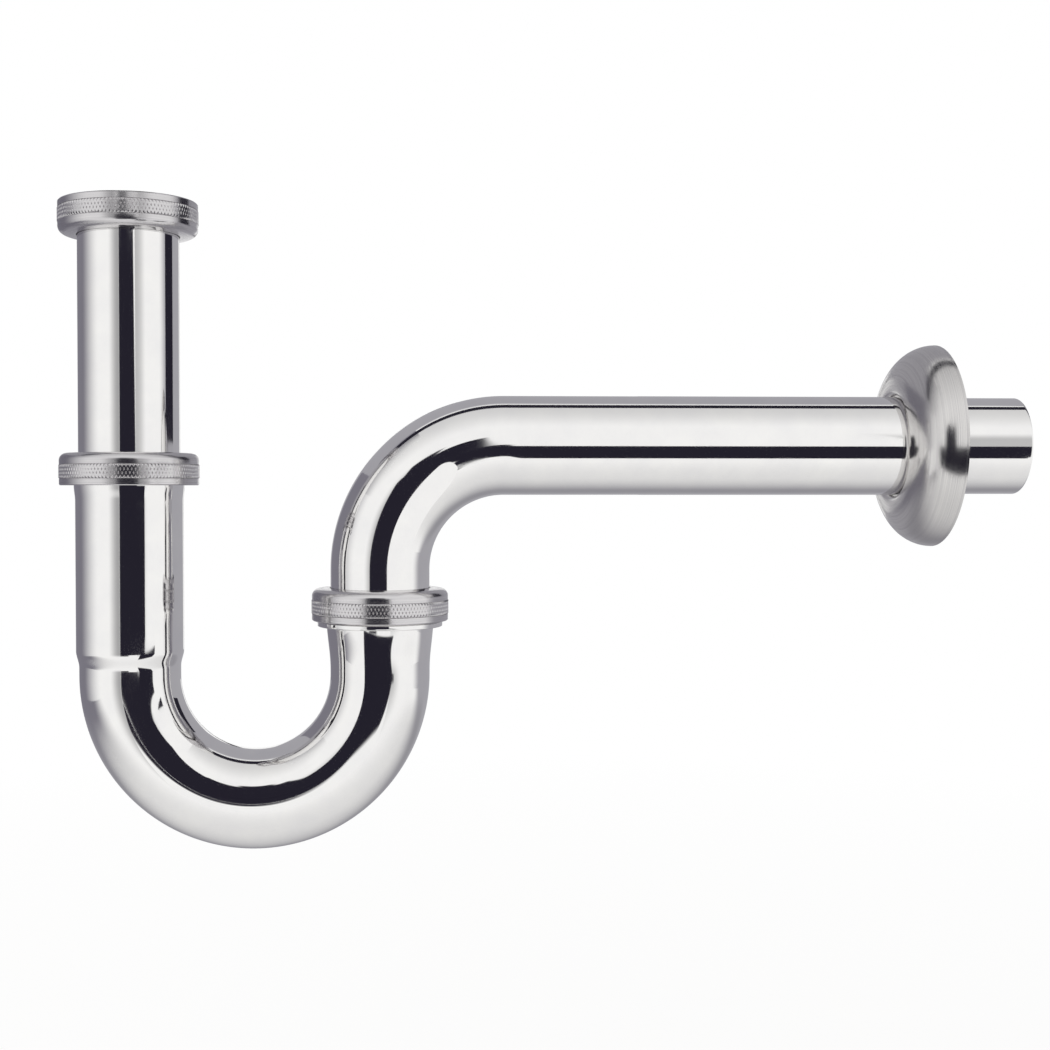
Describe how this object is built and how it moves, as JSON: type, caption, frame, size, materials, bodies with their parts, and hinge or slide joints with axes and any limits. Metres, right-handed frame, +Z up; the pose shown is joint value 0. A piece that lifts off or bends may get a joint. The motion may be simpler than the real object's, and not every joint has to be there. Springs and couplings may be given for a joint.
{
  "type": "sink trap",
  "caption": "Tubular basin trap: dip tube with knurled union nuts, U bend and outlet tube with a sliding wall rosette; drains a basin and keeps a water seal.",
  "frame": {"origin": "on the inlet axis, at the face of the washer that the basin waste seals on", "axes": "+Z up along the inlet axis, +X along the outlet run to the wall"},
  "size_m": [0.3105, 0.0658, 0.2066],
  "materials": {
    "polished_chrome": "mirror polished chrome plate on drawn brass tube",
    "satin_chrome": "turned and knurled brass, satin chrome plate",
    "spun_chrome": "spun brass sheet, satin chrome plate",
    "black_rubber": "moulded rubber",
    "white_polyethylene": "stamped polyethylene sheet"
  },
  "bodies": {
    "union": {"inlet_nut": "satin_chrome"},
    "dip": {"inlet_tube": "polished_chrome", "inlet_washer": "black_rubber"},
    "trap": {"trap_bend": "polished_chrome", "bend_inlet_collar": "polished_chrome", "bend_outlet_collar": "polished_chrome", "inlet_seal": "black_rubber", "outlet_seal": "black_rubber"},
    "inlet_clamp_ring": {"inlet_slip_ring": "white_polyethylene"},
    "inlet_clamp": {"inlet_clamp_nut": "satin_chrome"},
    "outlet_clamp_ring": {"outlet_slip_ring": "white_polyethylene"},
    "outlet_clamp": {"outlet_clamp_nut": "satin_chrome"},
    "outlet": {"wall_tube": "polished_chrome"},
    "rosette": {"wall_flange": "spun_chrome"}
  },
  "joints": [
    {"name": "inlet_swivel", "type": "hinge", "parent": "union", "child": "dip", "pos_m": [0, 0, 0], "axis": [0, 0, 1], "continuous": true},
    {"name": "height_adjust", "type": "slide", "parent": "dip", "child": "trap", "axis": [0, 0, 1], "range_m": [-0.018, 0.018]},
    {"name": "inlet_ring_lift", "type": "slide", "parent": "trap", "child": "inlet_clamp_ring", "axis": [0, 0, 1], "range_m": [0, 0.00462]},
    {"name": "inlet_clamp_turn", "type": "hinge", "parent": "inlet_clamp_ring", "child": "inlet_clamp", "pos_m": [0, 0, -0.08], "axis": [0, 0, 1], "range_deg": [0, 720]},
    {"name": "outlet_ring_lift", "type": "slide", "parent": "trap", "child": "outlet_clamp_ring", "axis": [0, 0, 1], "range_m": [0, 0.00462]},
    {"name": "outlet_clamp_turn", "type": "hinge", "parent": "outlet_clamp_ring", "child": "outlet_clamp", "pos_m": [0.08, 0, -0.123], "axis": [0, 0, 1], "range_deg": [0, 720]},
    {"name": "outlet_swivel", "type": "hinge", "parent": "trap", "child": "outlet", "pos_m": [0.08, 0, -0.123], "axis": [0, 0, 1], "range_deg": [-130, 130]},
    {"name": "flange_slide", "type": "slide", "parent": "outlet", "child": "rosette", "axis": [1, 0, 0], "range_m": [-0.125, 0.025]}
  ],
  "couplings": [
    {"joint": "inlet_ring_lift", "follows": "inlet_clamp_turn", "m_per_rad": 0.00036749},
    {"joint": "outlet_ring_lift", "follows": "outlet_clamp_turn", "m_per_rad": 0.00036749}
  ]
}
